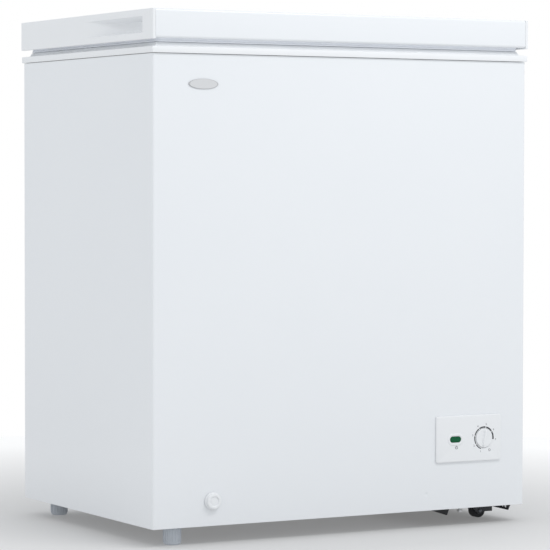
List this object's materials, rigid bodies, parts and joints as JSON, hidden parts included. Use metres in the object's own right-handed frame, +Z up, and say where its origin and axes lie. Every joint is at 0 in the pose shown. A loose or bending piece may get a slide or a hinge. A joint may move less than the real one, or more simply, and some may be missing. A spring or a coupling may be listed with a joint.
{
  "type": "chest freezer",
  "caption": "Compact white chest freezer with a sprung lift-up lid, wire basket, thermostat dial, drain spout, levelling feet and rollers.",
  "frame": {"origin": "on the floor, under the middle of the whole freezer", "axes": "+X to the right of a person facing the freezer, +Y to its back, +Z up"},
  "size_m": [0.697, 0.516, 0.834],
  "materials": {
    "painted_steel": "gloss",
    "white_plastic": "satin",
    "liner_white": "satin",
    "seal_grey": "matte",
    "galvanised_steel": "satin",
    "black_steel": "satin",
    "black_rubber": "matte",
    "black_plastic": "matte",
    "copper": "satin",
    "foot_grey": "satin",
    "foam": "matte",
    "green_lens": "gloss",
    "badge_silver": "satin",
    "basket_wire": "satin"
  },
  "bodies": {
    "cabinet": {"outer_shell": "painted_steel", "back_panel": "painted_steel", "top_collar": "white_plastic", "control_panel": "white_plastic", "drain_pipe": "white_plastic", "inner_liner": "liner_white", "base_step_plate": "galvanised_steel", "compressor_cover": "galvanised_steel", "thermostat_body": "galvanised_steel", "hinge_base_left": "galvanised_steel", "hinge_base_right": "galvanised_steel", "hinge_pin_left": "galvanised_steel", "hinge_pin_right": "galvanised_steel", "hinge_spring_left": "galvanised_steel", "hinge_spring_right": "galvanised_steel", "cover_screw_1": "galvanised_steel", "cover_screw_2": "galvanised_steel", "cover_screw_3": "galvanised_steel", "cover_screw_4": "galvanised_steel", "compressor_bolt_1": "galvanised_steel", "compressor_bolt_2": "galvanised_steel", "compressor_bolt_3": "galvanised_steel", "compressor_bolt_4": "galvanised_steel", "roller_axle_front": "galvanised_steel", "roller_axle_rear": "galvanised_steel", "compressor": "black_steel", "compressor_tray": "black_steel", "roller_bracket_front": "black_steel", "roller_bracket_rear": "black_steel", "compressor_grommet_1": "black_rubber", "compressor_grommet_2": "black_rubber", "compressor_grommet_3": "black_rubber", "compressor_grommet_4": "black_rubber", "cord_gland": "black_rubber", "relay_cover": "black_plastic", "evaporator_coil": "copper", "condenser_coil": "copper", "filter_drier": "copper", "suction_line": "copper", "discharge_line": "copper", "insulation_foam": "foam", "lamp_lens": "green_lens", "badge_plate": "badge_silver"},
    "lid": {"lid_shell": "painted_steel", "lid_end_cap_left": "white_plastic", "lid_end_cap_right": "white_plastic", "lid_foam": "foam", "lid_inner_panel": "white_plastic", "lid_gasket": "seal_grey", "hinge_arm_left": "galvanised_steel", "hinge_arm_right": "galvanised_steel"},
    "thermostat_knob": {"thermostat_knob": "white_plastic"},
    "drain_spout": {"drain_spout": "white_plastic"},
    "drain_dial": {"drain_dial": "white_plastic"},
    "drain_plug": {"drain_plug": "white_plastic"},
    "levelling_foot_front": {"levelling_foot_front": "foot_grey"},
    "levelling_foot_rear": {"levelling_foot_rear": "foot_grey"},
    "roller_front": {"roller_front": "black_rubber"},
    "roller_rear": {"roller_rear": "black_rubber"},
    "storage_basket": {"storage_basket": "basket_wire"}
  },
  "joints": [
    {"name": "lid_hinge", "type": "hinge", "parent": "cabinet", "child": "lid", "pos_m": [0, 0.25, 0.785], "axis": [-1, 0, 0], "range_deg": [0, 80]},
    {"name": "knob_turn", "type": "hinge", "parent": "cabinet", "child": "thermostat_knob", "pos_m": [0.2646, -0.25, 0.1438], "axis": [0, 1, 0], "range_deg": [-218, 89]},
    {"name": "spout_pull", "type": "slide", "parent": "cabinet", "child": "drain_spout", "axis": [0, -1, 0], "range_m": [0, 0.02]},
    {"name": "dial_turn", "type": "hinge", "parent": "drain_spout", "child": "drain_dial", "pos_m": [-0.2416, -0.25, 0.0682], "axis": [0, 1, 0], "range_deg": [0, 180]},
    {"name": "plug_lift", "type": "slide", "parent": "cabinet", "child": "drain_plug", "axis": [0, 0, 1], "range_m": [0, 0.04]},
    {"name": "basket_slide", "type": "slide", "parent": "cabinet", "child": "storage_basket", "axis": [-1, 0, 0], "range_m": [0, 0.35]},
    {"name": "foot_front_screw", "type": "hinge", "parent": "cabinet", "child": "levelling_foot_front", "pos_m": [-0.296, -0.218, 0], "axis": [0, 0, 1], "range_deg": [-180, 180]},
    {"name": "foot_rear_screw", "type": "hinge", "parent": "cabinet", "child": "levelling_foot_rear", "pos_m": [-0.296, 0.204, 0], "axis": [0, 0, 1], "range_deg": [-180, 180]},
    {"name": "roller_front_spin", "type": "hinge", "parent": "cabinet", "child": "roller_front", "pos_m": [0.309, -0.165, 0.012], "axis": [0, 1, 0], "continuous": true},
    {"name": "roller_rear_spin", "type": "hinge", "parent": "cabinet", "child": "roller_rear", "pos_m": [0.309, 0.151, 0.012], "axis": [0, 1, 0], "continuous": true}
  ]
}
